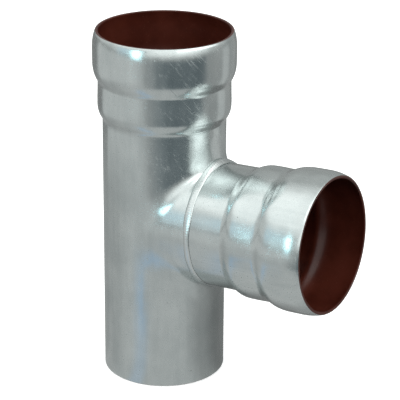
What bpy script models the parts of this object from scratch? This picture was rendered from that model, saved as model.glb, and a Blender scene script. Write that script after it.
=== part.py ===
"""Push-fit drainage tee of galvanised steel tube: a run with a socket above and a spigot below, and a branch
with its own socket, set at 87 degrees to the run.

The run is one tube. Its socket is expanded out of its upper end, and a collar is pulled out of its side. The
branch is a second, shorter tube with the same socket, butt-welded to the collar. A red-brown coating lines both.
Lengths are in metres, +Z is up, and the origin is the centre of the part's bounding box at the spigot's end.
"""

import math

import bmesh
import bpy
from mathutils import Matrix, Vector

# Tube, shared by the run and the branch
PIPE_OD = 0.073
STEEL_WALL = 0.0015
COATING = 0.0004
FIT_GAP = 0.0003

# Socket: outer diameters, lengths measured down from its mouth, and how late its tapers turn steep
MOUTH_OD = 0.0808
BELL_OD = 0.0842
GROOVE_OD = 0.0782
GUIDE_OD = 0.0787
CURL_LENGTH = 0.0095
BELL_LENGTH = 0.0078
BELL_TAPER = 0.0122
GUIDE_RISE = 0.0139
FOOT_TAPER = 0.0089
FOLD_POWER = 2.7

# Run: plain lengths of tube under and over the collar
SPIGOT_LENGTH = 0.0483
SHOULDER_LENGTH = 0.0088

# Branch and its collar. The margins are how far the collar's flare spreads over the run's tube, above and
# beside the branch. Leave and arrive are the pulls of the flare's curve at its two ends, as shares of its span.
BRANCH_ANGLE = math.radians(87.0)
COLLAR_REACH = 0.039
COLLAR_MARGIN = 0.013
COLLAR_SIDE_MARGIN = 0.015
COLLAR_FLANK = math.radians(76.0)
COLLAR_LEAVE = 0.20
COLLAR_ARRIVE = 0.40
BRANCH_NECK = 0.0237

# Weld bead over the seam between collar and branch
WELD_WIDTH = 0.004
WELD_HEIGHT = 0.0006

# Mesh resolution
COLUMNS = 32
WINDOW_COLUMNS = 20
WINDOW_ROWS = 10
PIPE_RINGS = 4
COLLAR_RINGS = 4
CURL_STEPS = 3
TAPER_STEPS = 4
WELD_STEPS = 4

# Worked out from the sizes above
PIPE_RADIUS = PIPE_OD / 2
SOCKET_DEPTH = CURL_LENGTH + BELL_LENGTH + BELL_TAPER + GUIDE_RISE + FOOT_TAPER
TILT = math.pi / 2 - BRANCH_ANGLE
COLLAR_HEIGHT = PIPE_RADIUS + COLLAR_MARGIN
COLLAR_RISE = PIPE_RADIUS * math.tan(TILT)
BRANCH_HEIGHT = SPIGOT_LENGTH + COLLAR_HEIGHT
WINDOW_PAD = 0.15 * COLLAR_MARGIN
WINDOW_LOW = BRANCH_HEIGHT - COLLAR_HEIGHT - WINDOW_PAD
WINDOW_HIGH = BRANCH_HEIGHT + COLLAR_HEIGHT + COLLAR_RISE + WINDOW_PAD
RUN_LENGTH = WINDOW_HIGH + SHOULDER_LENGTH + SOCKET_DEPTH
BRANCH_START = COLLAR_REACH + FIT_GAP
BRANCH_REACH = COLLAR_REACH + BRANCH_NECK + SOCKET_DEPTH
COATING_INSET = STEEL_WALL + FIT_GAP

BRANCH_AXIS = Vector((math.sin(BRANCH_ANGLE), 0, math.cos(BRANCH_ANGLE)))
BRANCH_UP = Vector((-math.cos(BRANCH_ANGLE), 0, math.sin(BRANCH_ANGLE)))
BRANCH_SIDE = Vector((0, 1, 0))
BRANCH_CENTRE = Vector((0, 0, BRANCH_HEIGHT))

# The run's axis stands this far from the middle of the part's width
BRANCH_TIP = BRANCH_REACH * BRANCH_AXIS.x + MOUTH_OD / 2 * math.sin(TILT)
RUN_OFFSET = (BELL_OD / 2 - BRANCH_TIP) / 2


def ease(share):
    """Runs from 0 to 1 with level ends."""
    return (1 - math.cos(math.pi * share)) / 2


def curl(share):
    """Runs from 0 to 1 as a parabola does: steep at first, level at the end."""
    return 1 - (1 - share) ** 2


def fold(share):
    """Runs from 0 to 1, level at first and then ever steeper, so that it ends in a crease."""
    return share**FOLD_POWER


def socket_profile():
    """(depth below the mouth, outer radius) down the socket, from its mouth to the plain tube."""
    stretches = (
        (CURL_LENGTH, MOUTH_OD, BELL_OD, curl, CURL_STEPS),
        (BELL_LENGTH, BELL_OD, BELL_OD, ease, 1),
        (BELL_TAPER, BELL_OD, GROOVE_OD, fold, TAPER_STEPS),
        (GUIDE_RISE, GROOVE_OD, GUIDE_OD, ease, 2),
        (FOOT_TAPER, GUIDE_OD, PIPE_OD, fold, TAPER_STEPS),
    )
    depth = 0.0
    points = [(depth, MOUTH_OD / 2)]
    for length, upper_od, lower_od, shape, steps in stretches:
        for step in range(1, steps + 1):
            share = step / steps
            radius = (upper_od + (lower_od - upper_od) * shape(share)) / 2
            points.append((depth + length * share, radius))
        depth += length
    return points


def tube_profile(start, end, inset, setback=0.0):
    """(distance along the axis, radius) of one skin from a plain end to a socket's mouth.

    The skin lies inset below the tube's outer face, and both its ends are drawn in by setback."""
    points = [(start + setback, PIPE_RADIUS - inset)]
    for depth, radius in reversed(socket_profile()):
        points.append((min(end - depth, end - setback), radius - inset))
    return points


def on_pipe(turn, height, inset):
    """Point on the run's tube, turned from the branch's side by turn."""
    radius = PIPE_RADIUS - inset
    return Vector((radius * math.cos(turn), radius * math.sin(turn), height))


def footprint(angle, inset):
    """(turn, height) where the collar leaves the run's tube, at an angle about the branch's axis from its top."""
    radius = PIPE_RADIUS - inset
    turn = math.asin(math.sin(COLLAR_FLANK) * math.sin(angle))
    turn += COLLAR_SIDE_MARGIN / radius * math.sin(angle) ** 3
    lean = radius * math.cos(turn) * math.tan(TILT)
    return turn, BRANCH_HEIGHT + radius * math.cos(angle) + COLLAR_MARGIN * math.cos(angle) ** 3 + lean


def on_branch(angle, distance, inset):
    """Point on the branch's plain tube, at a distance along its axis from the run's axis."""
    radius = PIPE_RADIUS - inset
    spoke = math.cos(angle) * BRANCH_UP + math.sin(angle) * BRANCH_SIDE
    return BRANCH_CENTRE + distance * BRANCH_AXIS + radius * spoke


def collar_point(angle, share, inset):
    """Point on the collar, from the run's tube at share 0 to the seam at share 1, on a Bezier curve.

    The curve leaves along the tube's face and swings half way towards the branch's axis at the seam."""
    turn, height = footprint(angle, inset)
    foot = on_pipe(turn, height, inset)
    seam = on_branch(angle, COLLAR_REACH, inset)
    span = seam - foot
    outward = Vector((math.cos(turn), math.sin(turn), 0))
    leave = (span - span.dot(outward) * outward).normalized()
    arrive = (span.normalized() + BRANCH_AXIS).normalized()
    leave *= COLLAR_LEAVE * span.length
    arrive *= COLLAR_ARRIVE * span.length
    points = (foot, foot + leave, seam - arrive, seam)
    rest = 1 - share
    weights = (rest**3, 3 * rest**2 * share, 3 * rest * share**2, share**3)
    return sum((weight * point for weight, point in zip(weights, points)), Vector())


def window_border():
    """(column, row) of each corner on the border of the window that the collar fills, once round."""
    half = WINDOW_COLUMNS // 2
    top = [(column, WINDOW_ROWS) for column in range(-half, half)]
    right = [(half, row) for row in range(WINDOW_ROWS, 0, -1)]
    bottom = [(column, 0) for column in range(half, -half, -1)]
    left = [(-half, row) for row in range(WINDOW_ROWS)]
    return top + right + bottom + left


def border_angle(column, row):
    """Angle about the branch's axis, from its top, that a corner of the window's border belongs to."""
    across = column / (WINDOW_COLUMNS / 2)
    along = row / (WINDOW_ROWS / 2) - 1
    return math.atan2(across, along)


def bridge(mesh, first, second):
    """Joins two closed rings of as many corners with a band of four-sided faces."""
    for here in range(len(first)):
        ahead = (here + 1) % len(first)
        mesh.faces.new((first[here], first[ahead], second[ahead], second[here]))


def window_height(row):
    return WINDOW_LOW + (WINDOW_HIGH - WINDOW_LOW) * row / WINDOW_ROWS


def run_skin(mesh, inset, setback):
    """Adds one skin of the run, inset below its outer face. Returns its spigot, mouth and seam rings."""
    step = 2 * math.pi / COLUMNS
    half = WINDOW_COLUMNS // 2
    columns = range(-COLUMNS // 2, COLUMNS // 2)
    profile = tube_profile(0, RUN_LENGTH, inset, setback)
    wall = [(window_height(row), PIPE_RADIUS - inset) for row in range(WINDOW_ROWS + 1)]
    heights = profile[:1] + wall + profile[1:]
    first_wall = 1

    grid = []
    for level, (height, radius) in enumerate(heights):
        row = level - first_wall
        inside_rows = 0 < row < WINDOW_ROWS
        ring = {}
        for column in columns:
            if inside_rows and abs(column) < half:
                continue
            turn = column * step
            spot = (radius * math.cos(turn), radius * math.sin(turn), height)
            ring[column] = mesh.verts.new(spot)
        grid.append(ring)

    for level in range(len(heights) - 1):
        in_window_rows = 0 <= level - first_wall < WINDOW_ROWS
        for column in columns:
            ahead = column + 1 if column + 1 < COLUMNS // 2 else -COLUMNS // 2
            if in_window_rows and -half <= column < half:
                continue
            lower, upper = grid[level], grid[level + 1]
            mesh.faces.new((lower[column], lower[ahead], upper[ahead], upper[column]))

    border = window_border()
    angles = [border_angle(column, row) for column, row in border]
    last = [grid[first_wall + row][column] for column, row in border]
    for ring in range(1, PIPE_RINGS + 1):
        share = ring / PIPE_RINGS
        loop = []
        for (column, row), angle in zip(border, angles):
            turn, height = footprint(angle, inset)
            mixed_turn = (1 - share) * column * step + share * turn
            mixed_height = (1 - share) * window_height(row) + share * height
            loop.append(mesh.verts.new(on_pipe(mixed_turn, mixed_height, inset)))
        bridge(mesh, last, loop)
        last = loop
    for ring in range(1, COLLAR_RINGS + 1):
        loop = [mesh.verts.new(collar_point(angle, ring / COLLAR_RINGS, inset)) for angle in angles]
        bridge(mesh, last, loop)
        last = loop
    return list(grid[0].values()), list(grid[-1].values()), last


def finished(name, mesh, material, parent):
    """Turns a bmesh into a named, smooth-shaded object under the parent."""
    bmesh.ops.recalc_face_normals(mesh, faces=mesh.faces)
    data = bpy.data.meshes.new(name)
    mesh.to_mesh(data)
    mesh.free()
    data.shade_smooth()
    data.set_sharp_from_angle(angle=math.radians(40))
    data.materials.append(material)
    part = bpy.data.objects.new(name, data)
    bpy.context.scene.collection.objects.link(part)
    part.parent = parent
    return part


def run_shell(name, outer_inset, thickness, setback, material, parent):
    """One shell of the run: its outer and inner skins, closed at the spigot, the mouth and the collar's edge."""
    mesh = bmesh.new()
    outer = run_skin(mesh, outer_inset, setback)
    inner = run_skin(mesh, outer_inset + thickness, setback)
    for outer_ring, inner_ring in zip(outer, inner):
        bridge(mesh, outer_ring, inner_ring)
    return finished(name, mesh, material, parent)


def branch_shell(name, outer_inset, thickness, setback, material, parent):
    """One shell of the branch, turned about its own axis and then laid along the branch."""
    outer = tube_profile(BRANCH_START, BRANCH_REACH, outer_inset, setback)
    inner = tube_profile(BRANCH_START, BRANCH_REACH, outer_inset + thickness, setback)
    outline = outer + inner[::-1]
    mesh = bmesh.new()
    corners = [mesh.verts.new((radius, 0, distance)) for distance, radius in outline]
    edges = [mesh.edges.new((corners[i - 1], corners[i])) for i in range(len(corners))]
    bmesh.ops.spin(
        mesh,
        geom=corners + edges,
        cent=(0, 0, 0),
        axis=(0, 0, 1),
        angle=2 * math.pi,
        steps=COLUMNS,
        use_merge=True,
    )
    part = finished(name, mesh, material, parent)
    part.location = BRANCH_CENTRE
    part.rotation_euler = (0, BRANCH_ANGLE, 0)
    return part


def collar_normal(angle, share):
    """Outward direction of the collar's outer face."""
    small = 1e-3
    along = collar_point(angle, share, 0) - collar_point(angle, share - small, 0)
    round_it = collar_point(angle + small, share, 0) - collar_point(angle - small, share, 0)
    return along.cross(round_it).normalized()


def weld_section(angle):
    """Corners of the weld bead's section: a crown from the collar over the seam to the branch, then its foot."""
    span = (collar_point(angle, 0, 0) - on_branch(angle, COLLAR_REACH, 0)).length
    share = 1 - WELD_WIDTH / 2 / span
    spoke = math.cos(angle) * BRANCH_UP + math.sin(angle) * BRANCH_SIDE
    start = collar_point(angle, share, 0) + FIT_GAP * collar_normal(angle, share)
    end = on_branch(angle, COLLAR_REACH + WELD_WIDTH / 2, -FIT_GAP)
    corner = (collar_normal(angle, 1) + spoke).normalized()
    root = on_branch(angle, COLLAR_REACH, 0) + FIT_GAP * corner
    crown = []
    for step in range(WELD_STEPS + 1):
        place = step / WELD_STEPS
        swell = WELD_HEIGHT * math.sin(math.pi * place)
        crown.append(start.lerp(end, place) + swell * corner)
    return crown + [root]


def weld_bead(name, material, parent):
    """Ring of weld metal over the seam, one section for each corner of the collar's edge."""
    mesh = bmesh.new()
    rings = []
    for column, row in window_border():
        section = weld_section(border_angle(column, row))
        rings.append([mesh.verts.new(corner) for corner in section])
    for here, ring in enumerate(rings):
        bridge(mesh, ring, rings[(here + 1) % len(rings)])
    return finished(name, mesh, material, parent)


def principled(name, colour, roughness, metallic):
    """Plain material of one colour."""
    material = bpy.data.materials.new(name)
    material.use_nodes = True
    shader = material.node_tree.nodes["Principled BSDF"]
    shader.inputs["Base Color"].default_value = (*colour, 1)
    shader.inputs["Roughness"].default_value = roughness
    shader.inputs["Metallic"].default_value = metallic
    return material


def main():
    for leftover in list(bpy.data.objects):
        bpy.data.objects.remove(leftover)

    zinc = principled("hot_dip_zinc", (0.56, 0.60, 0.60), 0.28, 1.0)
    weld = principled("zinc_over_weld", (0.62, 0.65, 0.65), 0.38, 1.0)
    coating = principled("red_brown_coating", (0.085, 0.018, 0.010), 0.32, 0.0)

    fitting = bpy.data.objects.new("fitting", None)
    bpy.context.scene.collection.objects.link(fitting)
    fitting.matrix_world = Matrix.Translation((RUN_OFFSET, 0, 0))

    run_shell("run_pipe", 0, STEEL_WALL, 0, zinc, fitting)
    branch_shell("branch_socket", 0, STEEL_WALL, 0, zinc, fitting)
    weld_bead("branch_weld", weld, fitting)
    run_shell("run_coating", COATING_INSET, COATING, FIT_GAP, coating, fitting)
    branch_shell("branch_coating", COATING_INSET, COATING, FIT_GAP, coating, fitting)


main()
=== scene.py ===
# %% [markdown]
# # A galvanised drainage tee
#
# The object is a push-fit pipe fitting: a straight steel tube with a bell socket on top, and a
# shorter tube with the same socket welded into its side. The outside is hot-dip zinc and the inside
# is painted red-brown.
#
# The imported CAD model comes in first and is never touched. It gives the places and sizes of
# everything, so each piece made below can stand exactly where its CAD solid stands.

# %% Load the frame
import math

import bmesh
import bpy
from mathutils import Matrix, Vector


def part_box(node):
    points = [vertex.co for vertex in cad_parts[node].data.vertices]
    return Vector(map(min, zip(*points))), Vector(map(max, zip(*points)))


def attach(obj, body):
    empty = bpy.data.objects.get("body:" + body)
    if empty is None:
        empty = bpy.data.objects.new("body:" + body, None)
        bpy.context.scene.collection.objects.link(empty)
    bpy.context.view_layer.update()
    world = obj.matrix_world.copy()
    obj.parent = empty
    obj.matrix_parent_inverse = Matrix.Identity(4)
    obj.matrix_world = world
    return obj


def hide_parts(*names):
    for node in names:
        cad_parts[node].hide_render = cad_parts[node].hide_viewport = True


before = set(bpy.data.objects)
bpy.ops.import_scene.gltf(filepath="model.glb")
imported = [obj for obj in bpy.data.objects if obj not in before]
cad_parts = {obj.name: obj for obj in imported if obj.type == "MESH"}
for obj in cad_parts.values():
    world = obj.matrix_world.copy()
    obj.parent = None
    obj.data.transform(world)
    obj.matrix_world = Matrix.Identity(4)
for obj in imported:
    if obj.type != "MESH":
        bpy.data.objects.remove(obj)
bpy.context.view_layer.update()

# %% [markdown]
# ## Camera
#
# A long lens seen from a little above is the usual choice for a catalogue picture of a fitting,
# because it keeps the tube's sides almost parallel. The angles, the distance and the lens below
# were found by fitting the outline of the tube and the two oval mouths. Azimuth, elevation and roll
# build the camera's own three axes, and the location is given along those axes, counted from the
# middle of the spigot's end.

# %% Camera
BELL_RADIUS = 0.0421
RUN_AXIS = Vector((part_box("run_pipe")[0].x + BELL_RADIUS, 0, 0))
AZIMUTH, ELEVATION, ROLL = (math.radians(angle) for angle in (32.15, 21.94, 0.502))
AWAY = Vector((0.02213, 0.09835, 1.12197))
LENS, SENSOR, CLIP_START = 162.75, 36, 0.05

level = Vector((math.cos(AZIMUTH), math.sin(AZIMUTH), 0))
level_back = Vector((math.sin(AZIMUTH), -math.cos(AZIMUTH), 0))
back = math.cos(ELEVATION) * level_back + math.sin(ELEVATION) * Vector((0, 0, 1))
rise = back.cross(level)
right = math.cos(ROLL) * level + math.sin(ROLL) * rise
above = math.cos(ROLL) * rise - math.sin(ROLL) * level

camera = bpy.data.objects.new("camera", bpy.data.cameras.new("camera"))
camera.data.lens = LENS
camera.data.sensor_width = SENSOR
camera.data.clip_start = CLIP_START
turned = Matrix((right, above, back)).transposed().to_4x4()
stand = RUN_AXIS + AWAY.x * right + AWAY.y * above + AWAY.z * back
camera.matrix_world = Matrix.Translation(stand) @ turned
bpy.context.scene.collection.objects.link(camera)
bpy.context.scene.camera = camera
print("camera at", [round(value, 3) for value in camera.location])

# %% [markdown]
# ## The socket's shape
#
# On the real fitting a tool expands the end of the tube. From the mouth downwards the wall curls
# out to the bell that holds a rubber seal, folds in to a groove, swells slightly into the guide
# that centres the pipe, and folds in again to the tube. A curve traced by hand could hold this, but
# five stretches with three easing rules say the same in plain numbers, and they can be sampled as
# finely as the picture needs. Sheet steel can't take a sharp crease, so each radius is the mean of
# its neighbours a millimetre or two up and down the wall. Inside, paint has gathered above the
# groove.

# %% Socket profile
PIPE_RADIUS = 0.0365
STEEL_WALL = 0.0015
RUN_CREASE, BRANCH_CREASE = 0.0010, 0.0018
CREASE_STEPS = (-1, -0.5, 0, 0.5, 1)
CURL_POWER, FOLD_POWER = 2, 2.7
POOL_DEPTH, POOL_REACH, POOL = 0.030, 0.0035, 0.0008
SOCKET_RINGS = 72
SOCKET = (
    (0.0095, 0.0404, 0.0421, "curl"),
    (0.0078, 0.0421, 0.0421, "ease"),
    (0.0122, 0.0421, 0.0391, "fold"),
    (0.0139, 0.0391, 0.03935, "ease"),
    (0.0089, 0.03935, PIPE_RADIUS, "fold"),
)
SOCKET_DEPTH = sum(stretch[0] for stretch in SOCKET)


def eased(rule, share):
    if rule == "curl":
        return 1 - (1 - share) ** CURL_POWER
    if rule == "fold":
        return share**FOLD_POWER
    return (1 - math.cos(math.pi * share)) / 2


def socket_radius(depth):
    """Outer radius at a depth below the mouth, with sharp creases."""
    for length, upper, lower, rule in SOCKET:
        if depth <= length:
            return upper + (lower - upper) * eased(rule, depth / length)
        depth -= length
    return PIPE_RADIUS


def socket_wall(inset, crease):
    """(depth below the mouth, radius) down one skin of the socket, inset below its outer face.

    A skin deeper than the steel is paint, and bulges in where paint has gathered."""
    points = []
    for ring in range(SOCKET_RINGS + 1):
        depth = (SOCKET_DEPTH + crease) * ring / SOCKET_RINGS
        reach = min(depth, crease)
        near = [socket_radius(depth + reach * step) for step in CREASE_STEPS]
        radius = sum(near) / len(near) - inset
        if inset > STEEL_WALL:
            radius -= POOL * math.exp(-(((depth - POOL_DEPTH) / POOL_REACH) ** 2))
        points.append((depth, radius))
    return points


outer_wall = socket_wall(0, RUN_CREASE)
print("socket depth in mm:", round(1000 * SOCKET_DEPTH, 1), "with", len(outer_wall), "rings")

# %% [markdown]
# ## From a tube's cut end to its mouth
#
# A cut steel edge is never knife sharp: sawing, pickling and zinc leave a radius of a few tenths of
# a millimetre. That small round is what draws the thin bright line along a rim. Each skin therefore
# ends in a short quarter circle that turns towards the middle of the wall, and the flat of the rim
# lies between the two quarter circles.

# %% One skin from end to end
EDGE, EDGE_ANGLES = 0.0004, (30, 60, 90)


def skin_profile(start, end, inset, turn_in, edge, crease):
    """(distance along the axis, radius) from the cut end to the mouth, with both edges rounded.

    turn_in is -1 for a skin whose edges round towards the axis,
    and 1 for one whose edges round away from it."""
    wall = [(end - depth, radius) for depth, radius in reversed(socket_wall(inset, crease))]
    body = [(start + edge, PIPE_RADIUS - inset)] + [point for point in wall if point[0] < end - edge]
    mouth = wall[-1][1]
    body.append((end - edge, mouth))
    quarter = [math.radians(angle) for angle in EDGE_ANGLES]
    turns = [(edge * (1 - math.sin(angle)), turn_in * edge * (1 - math.cos(angle))) for angle in quarter]
    foot = [(start + along, body[0][1] + aside) for along, aside in turns]
    rim = [(end - along, mouth + aside) for along, aside in turns]
    return foot[::-1] + body + rim


RUN_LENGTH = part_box("run_pipe")[1].z
outer_skin = skin_profile(0, RUN_LENGTH, 0, -1, EDGE, RUN_CREASE)
print("run length in mm:", round(1000 * RUN_LENGTH, 2), "rings:", len(outer_skin))

# %% [markdown]
# ## Where the branch leaves the run
#
# The collar is pulled out of the run's side, so its wall flows out of the tube in one sweep and
# ends in a flat edge for welding. A boolean union would leave a hard crease there. A ball that
# rolls along the corner between two tubes and touches both leaves such a sweep behind it, and with
# equal tubes its two tracks are easy to write down. Every curve of the collar runs from the track
# on the run to the track on the branch, and then straight to the seam. On top the seam comes before
# the ball's track, so the curve is cut short there and meets the branch at an angle. The sweep is
# not equally wide all round: the ball grows on top and at the sides, and two handles pull each
# curve into shape.

# %% Collar curves
BRANCH_ANGLE = math.radians(87)
BRANCH_HEIGHT = 0.0978
SEAM = 0.039
# The ball's radius, and what it gains on top and at the sides.
BALL, BALL_ON_TOP, BALL_AT_SIDE, BALL_POWER = 0.012, 0.007, 0.033, 8
# How far round the run the track turns, and a margin beside it.
FLANK, SIDE_MARGIN, MARGIN_POWER = 0.985, 0.006, 5
# The handles' pull, and how much the first one loses where the curve is cut short.
PULL, LATE = 0.36, 2
# How sharply the cut sets in, and how far it turns the second handle into the curve's chord.
CUT, KINK, KINK_POWER = 6, 150, 3
# The curve's share of the loops, against the straight stretch after it.
SLACK = 1.1
LEAN = math.pi / 2 - BRANCH_ANGLE
branch_axis = Vector((math.sin(BRANCH_ANGLE), 0, math.cos(BRANCH_ANGLE)))
branch_up = Vector((-math.cos(BRANCH_ANGLE), 0, math.sin(BRANCH_ANGLE)))
branch_side = Vector((0, 1, 0))
branch_centre = RUN_AXIS + Vector((0, 0, BRANCH_HEIGHT))


def ball_offset(angle):
    """Distance of the ball's middle from both axes, at an angle round the branch."""
    on_top = BALL_ON_TOP * math.cos(angle) ** BALL_POWER
    at_side = BALL_AT_SIDE * math.sin(angle) ** BALL_POWER
    return PIPE_RADIUS + BALL + on_top + at_side


def on_run(turn, height, inset):
    radius = PIPE_RADIUS - inset
    return RUN_AXIS + Vector((radius * math.cos(turn), radius * math.sin(turn), height))


def footprint(angle, inset):
    """(turn, height) of the ball's track on the run, at an angle counted from the branch's top."""
    radius = PIPE_RADIUS - inset
    turn = math.asin(FLANK * math.sin(angle)) + SIDE_MARGIN / radius * math.sin(angle) ** MARGIN_POWER
    lean = radius * math.cos(turn) * math.tan(LEAN)
    return turn, BRANCH_HEIGHT + ball_offset(angle) * math.cos(angle) + lean


def on_branch(angle, distance, inset):
    spoke = math.cos(angle) * branch_up + math.sin(angle) * branch_side
    return branch_centre + distance * branch_axis + (PIPE_RADIUS - inset) * spoke


def on_collar(angle, share, inset):
    """Point on the collar, from the run at share 0 to the seam at share 1."""
    turn, height = footprint(angle, inset)
    foot = on_run(turn, height, inset)
    track = ball_offset(angle) * abs(math.cos(angle))
    bend_distance = track / (1 + (track / SEAM) ** CUT) ** (1 / CUT)
    bend = on_branch(angle, bend_distance, inset)
    span = bend - foot
    curved = SLACK * span.length / (SLACK * span.length + SEAM - bend_distance)
    if share > curved:
        return bend.lerp(on_branch(angle, SEAM, inset), (share - curved) / (1 - curved))
    outward = Vector((math.cos(turn), math.sin(turn), 0))
    leave = (span - span.dot(outward) * outward).normalized()
    lost = 1 - bend_distance / track if track else 0
    leave *= PULL * (1 - LATE * lost) * span.length
    arrive = KINK * lost**KINK_POWER * span.normalized() + branch_axis
    arrive *= PULL * span.length / arrive.length
    done = share / curved
    rest = 1 - done
    return (
        rest**3 * foot
        + 3 * rest**2 * done * (foot + leave)
        + 3 * rest * done**2 * (bend - arrive)
        + done**3 * bend
    )


print("top of the seam in mm:", [round(1000 * value, 1) for value in on_collar(0, 1, 0)])

# %% [markdown]
# ## The run, skin by skin
#
# The tube is a grid of rings and columns. A window is left open in the grid on the branch's side.
# Two kinds of loops fill it: loops that stay on the tube and change slowly from the window's
# rectangle to the collar's oval, and loops that climb the collar. Because every loop has as many
# corners as the window's border, plain bands of four-sided faces join them, and the shading stays
# smooth.

# %% Helpers for the run's grid
COLUMNS, WINDOW_COLUMNS, WINDOW_ROWS = 128, 80, 40
OVAL_LOOPS, COLLAR_LOOPS = 10, 20
PAD = 0.0015
WINDOW_LOW = BRANCH_HEIGHT - ball_offset(0) - PAD
WINDOW_HIGH = BRANCH_HEIGHT + ball_offset(0) + PIPE_RADIUS * math.tan(LEAN) + PAD


def window_border():
    """(column, row) round the window's border, once."""
    half = WINDOW_COLUMNS // 2
    top = [(column, WINDOW_ROWS) for column in range(-half, half)]
    right_side = [(half, row) for row in range(WINDOW_ROWS, 0, -1)]
    bottom = [(column, 0) for column in range(half, -half, -1)]
    left_side = [(-half, row) for row in range(WINDOW_ROWS)]
    return top + right_side + bottom + left_side


def border_angle(column, row):
    return math.atan2(column / (WINDOW_COLUMNS / 2), row / (WINDOW_ROWS / 2) - 1)


def row_height(row):
    return WINDOW_LOW + (WINDOW_HIGH - WINDOW_LOW) * row / WINDOW_ROWS


def band(mesh, first, second):
    """Joins two closed rings of as many corners with four-sided faces."""
    for here in range(len(first)):
        ahead = (here + 1) % len(first)
        mesh.faces.new((first[here], first[ahead], second[ahead], second[here]))


print("corners on the window's border:", len(window_border()))

# %% The grid round the window
COLUMN_STEP = 2 * math.pi / COLUMNS


def run_grid(mesh, profile, inset):
    """Adds the tube's faces and returns its rings, and the corners of the window's border."""
    half = WINDOW_COLUMNS // 2
    columns = range(-COLUMNS // 2, COLUMNS // 2)
    lower = [point for point in profile if point[0] < WINDOW_LOW]
    upper = [point for point in profile if point[0] > WINDOW_HIGH]
    window = [(row_height(row), PIPE_RADIUS - inset) for row in range(WINDOW_ROWS + 1)]
    heights = lower + window + upper
    rings = []
    for index, (height, radius) in enumerate(heights):
        inside = 0 < index - len(lower) < WINDOW_ROWS
        ring = {}
        for column in columns:
            if not (inside and abs(column) < half):
                turn = column * COLUMN_STEP
                spot = Vector((radius * math.cos(turn), radius * math.sin(turn), height))
                ring[column] = mesh.verts.new(RUN_AXIS + spot)
        rings.append(ring)
    for index in range(len(heights) - 1):
        beside = 0 <= index - len(lower) < WINDOW_ROWS
        below, over = rings[index], rings[index + 1]
        for column in columns:
            ahead = column + 1 if column + 1 < COLUMNS // 2 else -COLUMNS // 2
            if not (beside and -half <= column < half):
                mesh.faces.new((below[column], below[ahead], over[ahead], over[column]))
    return rings, [rings[len(lower) + row][column] for column, row in window_border()]


print("columns round the run:", COLUMNS)

# %% Loops from the window to the seam
def collar_loops(mesh, last, inset):
    """Fills the window from its border to the collar's edge, and returns the ring at the seam."""
    border = window_border()
    for part in range(1, OVAL_LOOPS + 1):
        share = part / OVAL_LOOPS
        loop = []
        for column, row in border:
            turn, height = footprint(border_angle(column, row), inset)
            loop_turn = (1 - share) * column * COLUMN_STEP + share * turn
            loop_height = (1 - share) * row_height(row) + share * height
            loop.append(mesh.verts.new(on_run(loop_turn, loop_height, inset)))
        band(mesh, last, loop)
        last = loop
    for part in range(1, COLLAR_LOOPS + 1):
        share = part / COLLAR_LOOPS
        loop = [mesh.verts.new(on_collar(border_angle(*corner), share, inset)) for corner in border]
        band(mesh, last, loop)
        last = loop
    return last


print("loops in the window:", OVAL_LOOPS + COLLAR_LOOPS)

# %% Run tube
def run_skin(mesh, inset, turn_in, start, end, edge):
    """Adds one skin and returns its rings at the spigot, the mouth and the seam."""
    profile = skin_profile(start, end, inset, turn_in, edge, RUN_CREASE)
    rings, border = run_grid(mesh, profile, inset)
    seam = collar_loops(mesh, border, inset)
    return list(rings[0].values()), list(rings[-1].values()), seam


def finished(name, mesh, node):
    """Makes a smooth piece out of a bmesh, on the part's body and in place of its CAD node."""
    bmesh.ops.recalc_face_normals(mesh, faces=mesh.faces)
    data = bpy.data.meshes.new(name)
    mesh.to_mesh(data)
    mesh.free()
    data.shade_smooth()
    piece = bpy.data.objects.new(name, data)
    bpy.context.scene.collection.objects.link(piece)
    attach(piece, "root")
    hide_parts(node)
    print(name, "has", len(data.polygons), "faces")
    return piece


def run_wall(name, inset, thickness, setback, edge, node, slot):
    """A tube wall between two skins, closed at the spigot, the mouth and the seam."""
    mesh = bmesh.new()
    outer = run_skin(mesh, inset, -1, setback, RUN_LENGTH - setback, edge)
    inner = run_skin(mesh, inset + thickness, 1, setback, RUN_LENGTH - setback, edge)
    for first, second in zip(outer, inner):
        band(mesh, first, second)
    return finished(name, mesh, node)


run_pipe = run_wall("zinc_run", 0, STEEL_WALL, 0, EDGE, "run_pipe", "zinc")

# %% [markdown]
# ## The branch
#
# The branch is a second tube with the same socket, cut square where it meets the collar. It is
# round all the way, so each point of its section becomes a ring, and bands join the rings. Blender's
# spin operator makes the same wall, but it lists the faces in another order each time. The piece
# keeps its own axes, which lets a finish run along the branch in the same way as along the run.

# %% Branch tube
BRANCH_REACH = 0.115
SEAM_GAP = 0.00015


def branch_wall(name, inset, thickness, setback, edge, node, slot):
    """A tube wall between two skins, closed at the mouth and the seam."""
    start, end = SEAM + setback, BRANCH_REACH - setback
    outer = skin_profile(start, end, inset, -1, edge, BRANCH_CREASE)
    inner = skin_profile(start, end, inset + thickness, 1, edge, BRANCH_CREASE)
    turns = [column * COLUMN_STEP for column in range(COLUMNS)]
    mesh = bmesh.new()
    rings = []
    for distance, radius in outer + inner[::-1]:
        spots = [(radius * math.cos(turn), radius * math.sin(turn), distance) for turn in turns]
        rings.append([mesh.verts.new(spot) for spot in spots])
    for index, ring in enumerate(rings):
        band(mesh, rings[index - 1], ring)
    piece = finished(name, mesh, node)
    piece.matrix_world = Matrix.Translation(branch_centre) @ Matrix.Rotation(BRANCH_ANGLE, 4, "Y")
    return piece


branch_pipe = branch_wall("zinc_branch", 0, STEEL_WALL, SEAM_GAP, EDGE, "branch_socket", "zinc")

# %% [markdown]
# ## The weld
#
# The bead was laid in one pass round the seam and galvanised with the rest. Its toes lie on the
# collar and on the branch, its crown stands half a millimetre proud, or a whole one in the corners
# above and below, and the puddle left fine ripples along it. A torus would cut into the collar
# there, where the walls meet at an angle, so each section is built between two toes that follow
# both walls, and the ripple is added to the crown.

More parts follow.
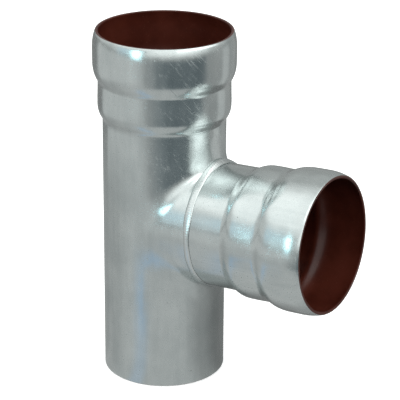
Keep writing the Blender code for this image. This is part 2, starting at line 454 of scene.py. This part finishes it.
# %% Weld bead
WELD_WIDTH, WELD_HEIGHT = 0.004, 0.0005
CORNER_POWER, CORNER_WIDENING = 4, 0.2
WANDERS = ((0.00022, 5, 0.6), (0.00015, 11, 2.1))
RIPPLES, RIPPLE_HEIGHT, RIPPLE_LAG = 150, 0.00003, 2.4
SECTIONS, CROWN_STEPS, CROWN_POWER = 720, 10, 0.8
ROOT_GAP = 0.00003


def collar_normal(angle, share):
    small = 1e-3
    along = on_collar(angle, share, 0) - on_collar(angle, share - small, 0)
    around = on_collar(angle + small, share, 0) - on_collar(angle - small, share, 0)
    return along.cross(around).normalized()


def weld_section(angle, gap):
    """Corners of the bead's section: its crown from toe to toe, then its root over the seam."""
    reach = (on_collar(angle, 0, 0) - on_branch(angle, SEAM, 0)).length
    wander = sum(size * math.sin(waves * angle + start) for size, waves, start in WANDERS)
    fill = math.cos(angle) ** CORNER_POWER
    half_width = WELD_WIDTH * (0.5 + CORNER_WIDENING * fill) + wander
    share = 1 - half_width / reach
    spoke = math.cos(angle) * branch_up + math.sin(angle) * branch_side
    start = on_collar(angle, share, 0) + gap * collar_normal(angle, share)
    end = on_branch(angle, SEAM + half_width, -gap)
    corner = (collar_normal(angle, 1) + spoke).normalized()
    crown = []
    for step in range(CROWN_STEPS + 1):
        place = step / CROWN_STEPS
        bow = math.sin(math.pi * place)
        ripple = RIPPLE_HEIGHT * bow * math.cos(RIPPLES * angle + RIPPLE_LAG * bow)
        height = WELD_HEIGHT * (1 + fill) * bow**CROWN_POWER + ripple
        crown.append(start.lerp(end, place) + height * corner)
    return crown + [on_branch(angle, SEAM, 0) + gap * corner]


mesh = bmesh.new()
sections = [weld_section(2 * math.pi * index / SECTIONS, ROOT_GAP) for index in range(SECTIONS)]
rings = [[mesh.verts.new(corner) for corner in section] for section in sections]
for index, ring in enumerate(rings):
    band(mesh, ring, rings[(index + 1) % SECTIONS])
weld = finished("weld_bead", mesh, "branch_weld")

# %% [markdown]
# ## The coating inside
#
# The inside is painted before the fitting leaves the works. Making it a second material on the
# steel would be simpler, but the paint is a layer of its own with an edge of its own, so it is a
# thin shell that lies against the steel. The shell stops just short of the rims, which get their
# paint in a later step.

# %% Coating
COATING, COATING_GAP, COATING_SETBACK, COATING_EDGE = 0.0003, 0.00004, 0.0003, 0.0001
film = (STEEL_WALL + COATING_GAP, COATING, COATING_SETBACK, COATING_EDGE)
run_coating = run_wall("coating_run", *film, "run_coating", "coating")
branch_coating = branch_wall("coating_branch", *film, "branch_coating", "coating")

# %% [markdown]
# ## Writing shader maths as Python
#
# A finish is a small calculation: noise, stretched and mixed, decides colour and gloss. Wiring
# dozens of Math nodes by hand hides that calculation. The class below wraps one output socket, so
# that an expression such as `1 - mask * 0.3` adds the Math nodes itself. Any other kind of node
# goes through one method, which sets the node's own settings first and its sockets after.

# %% A socket that can do sums
class Field:
    def __init__(self, tree, socket):
        self.tree = tree
        self.socket = socket

    def node(self, kind, settings=None, sockets=None, output=0):
        made = self.tree.nodes.new(kind)
        for name, value in (settings or {}).items():
            setattr(made, name, value)
        for name, value in (sockets or {}).items():
            if isinstance(value, Field):
                self.tree.links.new(value.socket, made.inputs[name])
            else:
                made.inputs[name].default_value = value
        return Field(self.tree, made.outputs[output])

    def math(self, operation, *values):
        return self.node("ShaderNodeMath", {"operation": operation}, dict(enumerate(values)))

    def __add__(self, other):
        return self.math("ADD", self, other)

    __radd__ = __add__

    def __mul__(self, other):
        return self.math("MULTIPLY", self, other)

    __rmul__ = __mul__

    def __sub__(self, other):
        return self.math("SUBTRACT", self, other)

    def __rsub__(self, other):
        return self.math("SUBTRACT", other, self)

    def between(self, low, high):
        """0 before low, 1 past high and smooth in between. Low may be the greater of the two."""
        limits = {"Value": self, "From Min": low, "From Max": high}
        return self.node("ShaderNodeMapRange", {"interpolation_type": "SMOOTHSTEP"}, limits)

    def stretched(self, scale):
        return self.node("ShaderNodeVectorMath", {"operation": "MULTIPLY"}, {0: self, 1: scale})

    def noise(self, scale, detail=3.0, roughness=0.5):
        sockets = {"Vector": self, "Scale": scale, "Detail": detail, "Roughness": roughness}
        return self.node("ShaderNodeTexNoise", None, sockets)

    def mixed(self, first, second):
        """A colour, from the first to the second as this value goes from 0 to 1."""
        sockets = {"Factor": self, 6: first, 7: second}
        return self.node("ShaderNodeMix", {"data_type": "RGBA"}, sockets, 2)

    def bumped(self, strength, distance, under=None):
        sockets = {"Height": self, "Strength": strength, "Distance": distance}
        if under:
            sockets["Normal"] = under
        return self.node("ShaderNodeBump", None, sockets)


def start_finish(name):
    """A new material, its shader and the object's own coordinates in metres."""
    material = bpy.data.materials.new(name)
    material.use_nodes = True
    tree = material.node_tree
    shader = tree.nodes["Principled BSDF"]
    place = Field(tree, tree.nodes.new("ShaderNodeTexCoord").outputs["Object"])
    return material, shader, place


def feed(shader, **fields):
    """Links fields, and sets plain values, on the shader's sockets."""
    for name, value in fields.items():
        socket = shader.inputs[name.replace("_", " ")]
        if isinstance(value, Field):
            value.tree.links.new(value.socket, socket)
        else:
            socket.default_value = value


print("fields are ready")

# %% [markdown]
# ## Hot-dip zinc
#
# Molten zinc drains down the tube as it is lifted out of the bath. It leaves a bright skin with
# slow waves, long faint flow marks, cloudy patches of different gloss, and fine scratches and
# slanted marks from handling. Metal has no colour of its own under its reflection, so most of the
# work is done by roughness and a very low bump, and only a little by colour.

# %% Zinc
SPECK_GREY = (0.16, 0.17, 0.17, 1)
DRAG_AXIS, DRAG_SLANT = (0.87, -0.5, 0), math.radians(-42)


def zinc_finish(name, tint_dark, tint_light, gloss, ripple):
    material, shader, place = start_finish(name)
    clouds = place.noise(38, 4, 0.6)
    flow = place.stretched((1, 1, 0.12)).noise(260, 3, 0.55)
    grain = place.noise(1500, 2, 0.6)
    scratches = place.stretched((0.25, 1, 1.6)).noise(900, 1, 0.4).between(0.66, 0.72)
    slant = {"Vector": place, "Axis": DRAG_AXIS, "Angle": DRAG_SLANT}
    slanted = place.node("ShaderNodeVectorRotate", {"rotation_type": "AXIS_ANGLE"}, slant)
    drags = slanted.stretched((1, 1, 0.09)).noise(760, 3, 0.6).between(0.55, 0.72)
    specks = place.noise(520, 2, 0.5).between(0.74, 0.80)
    tone = (0.55 * clouds + 0.3 * flow + 0.15 * grain).between(0.3, 0.7)
    colour = specks.mixed(tone.mixed(tint_dark, tint_light), SPECK_GREY)
    marks = 0.08 * scratches + 0.17 * drags + 0.1 * specks
    rough = gloss + 0.10 * (clouds - 0.5) + 0.06 * (flow - 0.5) + marks
    waves = place.stretched((1, 1, 0.4)).noise(55, 2, 0.5)
    bump = (0.7 * grain + 0.3 * scratches + 0.5 * flow).bumped(0.12, 0.00012, waves.bumped(0.35, ripple))
    feed(shader, Base_Color=colour, Metallic=1.0, Roughness=rough, Normal=bump)
    return material


ZINC_DARK, ZINC_LIGHT = (0.52, 0.565, 0.565, 1), (0.66, 0.70, 0.695, 1)
zinc = zinc_finish("hot_dip_zinc", ZINC_DARK, ZINC_LIGHT, gloss=0.20, ripple=0.0012)
for piece in (run_pipe, branch_pipe):
    piece.data.materials.append(zinc)
print("zinc on", run_pipe.name, "and", branch_pipe.name)

# %% [markdown]
# ## Zinc over the weld
#
# The bead went into the same bath. Its ripples hold more zinc, so it is a little paler and duller
# than the tubes.

# %% Weld finish
WELD_DARK, WELD_LIGHT = (0.55, 0.59, 0.59, 1), (0.72, 0.75, 0.745, 1)
weld_zinc = zinc_finish("zinc_over_weld", WELD_DARK, WELD_LIGHT, gloss=0.27, ripple=0.0004)
weld.data.materials.append(weld_zinc)
print("weld finish on", weld.name)

# %% [markdown]
# ## Red-brown paint
#
# The inner coating is a thick paint of low gloss. It dried with a faint orange peel, and the
# sprayed film is cloudy where it is thinner. How strongly it mirrors is the same all over, so that
# is a plain number on the shader.

# %% Paint
PAINT_DARK, PAINT_LIGHT = (0.053, 0.0097, 0.0053, 1), (0.079, 0.016, 0.009, 1)
PAINT_DUST = (0.16, 0.07, 0.05, 1)
PAINT_SHINE = 0.33


def paint_finish(name):
    material, shader, place = start_finish(name)
    clouds = place.noise(60, 3, 0.55)
    peel = place.noise(700, 2, 0.5)
    dust = place.noise(1800, 1, 0.5).between(0.70, 0.78)
    colour = dust.mixed(clouds.between(0.3, 0.7).mixed(PAINT_DARK, PAINT_LIGHT), PAINT_DUST)
    rough = 0.34 + 0.12 * (clouds - 0.5) + 0.08 * (peel - 0.5)
    feed(shader, Base_Color=colour, Roughness=rough, Specular_IOR_Level=PAINT_SHINE)
    feed(shader, Normal=peel.bumped(0.10, 0.0002))
    return material


paint = paint_finish("red_brown_paint")
for piece in (run_coating, branch_coating):
    piece.data.materials.append(paint)
print("paint on", run_coating.name, "and", branch_coating.name)

# %% [markdown]
# ## Paint on the rims
#
# The spray also reaches the flat of each rim, which is why a mouth shows no grey ring between its
# dark inside and its bright outside. The rim's faces already exist on the zinc pieces, so they only
# change their material.

# %% Painted rims
def paint_rim(piece, axis):
    """Gives the paint to the flat and the inner edge of a piece's rim."""
    piece.data.materials.append(paint)
    top = max(corner.co.z for corner in piece.data.vertices)
    rim = [face for face in piece.data.polygons if face.center.z > top - EDGE]
    outer = max((face.center - axis).xy.length for face in rim)
    painted = [face for face in rim if (face.center - axis).xy.length < outer - EDGE / 2]
    for face in painted:
        face.material_index = 1
    print(piece.name, "has", len(painted), "painted faces on its rim")


paint_rim(run_pipe, RUN_AXIS)
paint_rim(branch_pipe, Vector())

# %% [markdown]
# ## Surroundings and light
#
# Polished metal shows its surroundings, so the surroundings are the light. Here the room is a soft
# dome without any picture in it. It is grey at the horizon, opens into a broad bright sky in front
# and to the right, and stays calm behind the part. A bright patch far to the right is mirrored
# twice, by the top of the branch and then by the run above it, where it is a pale streak.
# Directions come in as a vector, and its three numbers are enough to say where the sky is bright.

# %% Room
LOW_SKY, RIGHT_SKY, SIDE_SKY, HIGH_SKY = 0.75, 1.9, 1.2, 0.68
HAZE, HAZE_RISE, HAZE_LEFT, CALMING = 0.41, 0.21, 0.11, 0.8
AHEAD_RIGHT = (0.82, -0.57)
ROOM_TINT = (0.97, 1.0, 0.985, 1)
world = bpy.data.worlds.new("studio")
world.use_nodes = True
tree = world.node_tree
toward = Field(tree, tree.nodes.new("ShaderNodeTexCoord").outputs["Generated"])


def part_of(vector, axis):
    return vector.node("ShaderNodeSeparateXYZ", None, {"Vector": vector}, axis)


def brighter(first, second):
    return first.math("MAXIMUM", first, second)


sideways, depthways, upward = (part_of(toward, axis) for axis in "XYZ")
behind = depthways.between(-0.1, 0.5)
to_right, to_left = sideways.between(0.3, 0.6), sideways.between(0.0, -0.5)
calm = behind * (1 - to_right)
ahead_right = (AHEAD_RIGHT[0] * sideways + AHEAD_RIGHT[1] * depthways).between(0.45, 0.80)
low_sky = LOW_SKY * ahead_right * upward.between(0.04, 0.24)
right_sky = RIGHT_SKY * sideways.between(0.12, 0.40) * upward.between(0.66, 0.84)
side_sky = SIDE_SKY * sideways.between(0.66, 0.82) * upward.between(0.22, 0.34)
high_sky = HIGH_SKY * upward.between(0.30, 0.62) * (1 - CALMING * calm)
haze = HAZE + (HAZE_RISE + HAZE_LEFT * to_left) * upward.between(0.0, 0.10) * (1 - calm)
sky = haze + side_sky + brighter(low_sky, brighter(right_sky, high_sky))
room = sky * upward.between(-0.15, -0.01)
feed(tree.nodes["Background"], Strength=room, Color=ROOM_TINT)
bpy.context.scene.world = world
bpy.context.scene.view_settings.view_transform = "Standard"
print("room with", len(tree.nodes), "nodes")

# %% [markdown]
# ## The floor that shows and the table that is mirrored
#
# The floor is plain and pale, and the camera sees nothing else of the stage. In a real studio the
# same floor would be mirrored in the zinc, but a product table is rarely white all over: paper,
# cloth and shadow make lighter and darker fields around the part. A second card, which only mirror
# rays can see, carries those fields. Each field is a range of bearings round the run, and a near
# ring close to the part has its own tones. The near tones go by heading: the way in which a mirror
# ray leaves the run, which differs from the bearing close to the tube.

# %% Floor
def flat_card(name, corners, shade, glow):
    """A flat card with a matt shade of its own that gives off an even glow."""
    data = bpy.data.meshes.new(name)
    data.from_pydata([Vector(corner) for corner in corners], [], [tuple(range(len(corners)))])
    card = bpy.data.objects.new(name, data)
    bpy.context.scene.collection.objects.link(card)
    material = bpy.data.materials.new(name)
    material.use_nodes = True
    feed(material.node_tree.nodes["Principled BSDF"], Base_Color=(*shade, 1), Roughness=0.9,
         Specular_IOR_Level=0.0, Emission_Color=(*glow, 1), Emission_Strength=1.0)
    data.materials.append(material)
    return card


def square(half, height):
    return [(-half, -half, height), (half, -half, height), (half, half, height), (-half, half, height)]


FLOOR_HALF, FLOOR_HEIGHT = 6, -0.0004
FLOOR_SHADE, FLOOR_GLOW = (0.86, 0.86, 0.86), (0.50, 0.50, 0.50)
floor = flat_card("floor", square(FLOOR_HALF, FLOOR_HEIGHT), FLOOR_SHADE, FLOOR_GLOW)
floor.visible_glossy = False
floor.visible_diffuse = False
print("floor is in place")

# %% Mirrored table
BLACK = (0, 0, 0)
TABLE_HALF, TABLE_HEIGHT = 4, 0.0002
VIEW_BEARING = 32
table = flat_card("table", square(TABLE_HALF, TABLE_HEIGHT), BLACK, BLACK)
table.location = RUN_AXIS
for rays in ("camera", "diffuse", "shadow", "transmission"):
    setattr(table, "visible_" + rays, False)
table_tree = table.data.materials[0].node_tree
spot = Field(table_tree, table_tree.nodes.new("ShaderNodeTexCoord").outputs["Object"])
across, beyond = part_of(spot, "X"), part_of(spot, "Y")
bearing = across.math("ARCTAN2", across, 0 - beyond) * math.degrees(1)
distance = spot.node("ShaderNodeVectorMath", {"operation": "LENGTH"}, {0: spot}, 1)

# A ray that comes in along VIEW_BEARING and leaves the run for this spot points along its heading.
half_turn = (VIEW_BEARING - bearing) * math.radians(0.5)
swing = half_turn.math("SINE", half_turn) * math.degrees(PIPE_RADIUS)
heading = bearing - swing.math("DIVIDE", swing, distance)
print("table seen along a bearing of", VIEW_BEARING, "degrees")

# %% Fields of the table
FAR, LEFT_PAPER, BACK_PAPER, DARK_CLOTH, EDGE_SHADE = 0.40, 0.25, 0.22, 0.22, 0.13
NEAR, NEAR_LEFT, NEAR_RIGHT = 0.56, (0.10, 0.07), (0.20, 0.14)
dark_cloth = bearing.between(-2, 44) * bearing.between(102, 96)
left_paper = bearing.between(-98, -92) * bearing.between(10, -14)
back_paper = bearing.between(130, 136) * bearing.between(156, 150)
edge_shade = bearing.between(-92, -98)
far_light = FAR + LEFT_PAPER * left_paper + BACK_PAPER * back_paper
far_glow = far_light - DARK_CLOTH * dark_cloth - EDGE_SHADE * edge_shade
near_left = NEAR_LEFT[0] * heading.between(-30, -75) + NEAR_LEFT[1] * heading.between(-90, -104)
near_right = NEAR_RIGHT[0] * heading.between(65, 105) + NEAR_RIGHT[1] * heading.between(105, 145)
near_glow = NEAR - near_left - near_right
on_left = bearing.between(5, -10)
nearness = distance.between(0.50, 0.28) * on_left + distance.between(0.30, 0.26) * (1 - on_left)
glow = far_glow + nearness * (near_glow - far_glow)
print("table with", len(table_tree.nodes), "nodes")

# %% [markdown]
# ## A blue streak on the table
#
# The lamp throws a faint blue streak across the table towards the part, and the lower half of the
# run mirrors it as one upright line. It is bounded by heading near the part and by bearing further
# out, and it is weaker at the foot.

# %% Table colours
PLAIN, CLOTH_BLUE, LAMP_BLUE = (0.98, 1.0, 0.99, 1), (0.84, 1.0, 1.07, 1), (0.86, 1.08, 1.32, 1)
STREAK_AT_FOOT = 0.5
far_side, near_side = bearing.between(-1, -5), heading.between(7, -6)
right_side = far_side + distance.between(0.15, 0.12) * (near_side - far_side)
streak = heading.between(-29, -12) * right_side * distance.between(0.27, 0.17)
blue_streak = streak * (STREAK_AT_FOOT + (1 - STREAK_AT_FOOT) * distance.between(0.08, 0.13))
tint = (dark_cloth * (1 - nearness)).mixed(PLAIN, CLOTH_BLUE)
tint = blue_streak.mixed(tint, LAMP_BLUE)
lit = tint.node("ShaderNodeVectorMath", {"operation": "SCALE"}, {0: tint, "Scale": glow})
feed(table_tree.nodes["Principled BSDF"], Emission_Color=lit)
print("table is lit")

# %% [markdown]
# ## A cool lamp
#
# A tall, narrow, cool lamp stands in front and to the left. Its mirror images are the bluish sparks
# on the curved parts, and the wall beside it glows faintly. A lamp object would leave no shape in
# the zinc, so both are glowing cards.

# %% Lamp and its glow
LAMP = Vector((-0.28, -1.17, 0.37))
LAMP_GLOW = Vector((-0.70, -1.00, 0.42))
AIM = Vector((0, 0, 0.13))
LAMP_COLOUR, GLOW_COLOUR = (2.5, 4.1, 4.4), (0.74, 1.15, 1.36)
FADED_OUT = 0.92
eighths = [math.radians(45 * (side + 0.5)) for side in range(8)]
octagon = [Vector((math.cos(turn), math.sin(turn), 0)) for turn in eighths]


def lamp_card(name, middle, radius, core, share, colour, squeeze):
    """A card that faces the part, bright as far as the core and fading to nothing at its rim."""
    card = flat_card(name, [radius * corner for corner in octagon], BLACK, colour)
    facing = (AIM - middle).to_track_quat("Z", "Y").to_matrix().to_4x4()
    card.matrix_world = Matrix.Translation(middle) @ facing @ Matrix.Diagonal((squeeze, 1, 1, 1))
    card.visible_camera = False
    card.visible_diffuse = False
    tree = card.data.materials[0].node_tree
    spot = Field(tree, tree.nodes.new("ShaderNodeTexCoord").outputs["Object"])
    from_middle = spot.node("ShaderNodeVectorMath", {"operation": "LENGTH"}, {0: spot}, 1)
    feed(tree.nodes["Principled BSDF"], Alpha=share * from_middle.between(FADED_OUT * radius, core))


lamp_card("lamp", LAMP, radius=0.33, core=0.19, share=1, colour=LAMP_COLOUR, squeeze=0.6)
lamp_card("lamp_glow", LAMP_GLOW, radius=0.40, core=0.06, share=0.42, colour=GLOW_COLOUR, squeeze=1)
print("lamp at", [round(value, 2) for value in LAMP])
